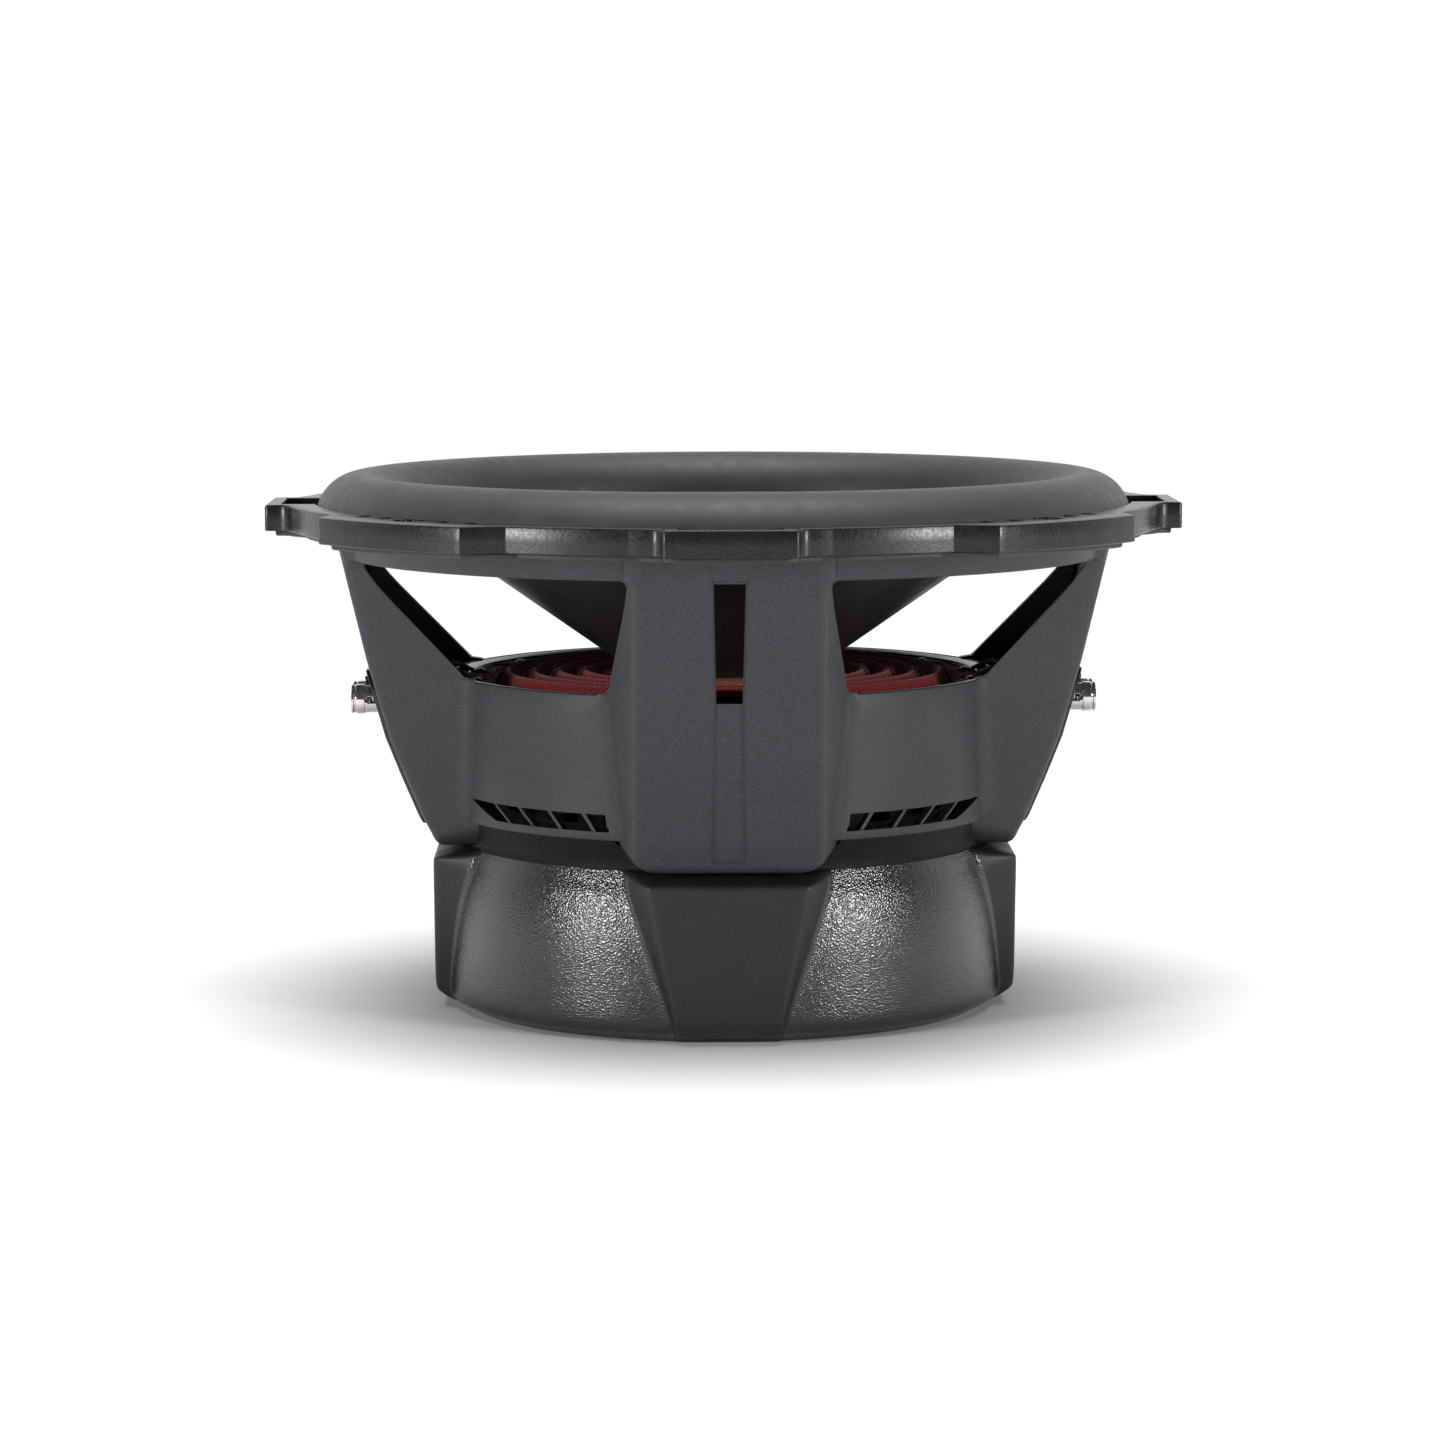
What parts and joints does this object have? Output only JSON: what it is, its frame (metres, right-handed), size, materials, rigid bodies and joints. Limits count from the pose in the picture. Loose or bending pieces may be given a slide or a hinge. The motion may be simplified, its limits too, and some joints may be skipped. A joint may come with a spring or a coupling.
{
  "type": "car subwoofer speaker",
  "caption": "Round car subwoofer driver with rubber surround, cone, vented basket, red spider, magnet boot and sprung terminals.",
  "frame": {"origin": "on the axis, in the plane that the magnet boot stands on", "axes": "+Z along the axis towards the open side of the cone; the terminals are on the -X and +X sides; -Y faces the viewer"},
  "size_m": [0.324, 0.324, 0.1905],
  "materials": {
    "powder_coat": "fine dark grey powder coat, satin",
    "ring_plastic": "black moulded plastic with a fine texture, satin",
    "surround_rubber": "charcoal rubber, satin",
    "cone_skin": "black cone, satin",
    "cap_skin": "black cap, satin",
    "former_foil": "anodised foil, matte",
    "copper_wire": "lacquered copper wire",
    "collar_paper": "dark paper",
    "spider_cloth": "red woven cloth, matte",
    "gloss_black": "black, gloss",
    "tinsel_braid": "braided tinsel, satin",
    "motor_steel": "blackened steel, satin",
    "ferrite": "dark ferrite, matte",
    "copper_cap": "copper, satin",
    "bare_aluminium": "turned aluminium",
    "black_screws": "black oxide, satin",
    "boot_rubber": "black rubber with a leather-like grain, satin",
    "plate_black": "black, gloss",
    "nickel": "nickel plate, polished",
    "lug_brass": "brass, satin",
    "wire_sleeve": "black insulation, satin",
    "spring_steel": "bright spring wire"
  },
  "bodies": {
    "frame": {"basket": "powder_coat", "trim_ring": "ring_plastic", "surround": "surround_rubber", "spider": "spider_cloth", "spider_ring": "gloss_black", "spider_pins": "gloss_black", "tinsel_leads": "tinsel_braid", "top_plate": "motor_steel", "upper_magnet": "ferrite", "lower_magnet": "ferrite", "t_yoke": "motor_steel", "pole_cap": "copper_cap", "shorting_ring": "bare_aluminium", "motor_screws": "black_screws", "magnet_boot": "boot_rubber", "terminal_plate_left": "plate_black", "terminal_plate_right": "plate_black", "terminal_screws": "nickel", "solder_lugs": "lug_brass", "lead_wires_left": "wire_sleeve", "lead_wires_right": "wire_sleeve", "sleeve_left_front": "nickel", "sleeve_left_rear": "nickel", "sleeve_right_front": "nickel", "sleeve_right_rear": "nickel", "post_left_front": "lug_brass", "post_left_rear": "lug_brass", "post_right_front": "lug_brass", "post_right_rear": "lug_brass", "spring_left_front": "spring_steel", "spring_left_rear": "spring_steel", "spring_right_front": "spring_steel", "spring_right_rear": "spring_steel"},
    "cone_assembly": {"cone": "cone_skin", "dust_cap": "cap_skin", "coil_former": "former_foil", "upper_winding": "copper_wire", "lower_winding": "copper_wire", "coil_collar": "collar_paper"},
    "push_cap_left_front": {"push_cap_left_front": "nickel"},
    "push_cap_left_rear": {"push_cap_left_rear": "nickel"},
    "push_cap_right_front": {"push_cap_right_front": "nickel"},
    "push_cap_right_rear": {"push_cap_right_rear": "nickel"}
  },
  "joints": [
    {"name": "cone_slide", "type": "slide", "parent": "frame", "child": "cone_assembly", "axis": [0, 0, 1], "range_m": [-0.014, 0.014], "stiffness_N_per_m": 6000, "deforming": ["surround", "spider", "tinsel_leads"]},
    {"name": "press_left_front", "type": "slide", "parent": "frame", "child": "push_cap_left_front", "axis": [1, 0, 0], "range_m": [0, 0.002], "stiffness_N_per_m": 450, "springref_m": -0.0015, "deforming": ["spring_left_front"]},
    {"name": "press_left_rear", "type": "slide", "parent": "frame", "child": "push_cap_left_rear", "axis": [1, 0, 0], "range_m": [0, 0.002], "stiffness_N_per_m": 450, "springref_m": -0.0015, "deforming": ["spring_left_rear"]},
    {"name": "press_right_front", "type": "slide", "parent": "frame", "child": "push_cap_right_front", "axis": [-1, 0, 0], "range_m": [0, 0.002], "stiffness_N_per_m": 450, "springref_m": -0.0015, "deforming": ["spring_right_front"]},
    {"name": "press_right_rear", "type": "slide", "parent": "frame", "child": "push_cap_right_rear", "axis": [-1, 0, 0], "range_m": [0, 0.002], "stiffness_N_per_m": 450, "springref_m": -0.0015, "deforming": ["spring_right_rear"]}
  ]
}
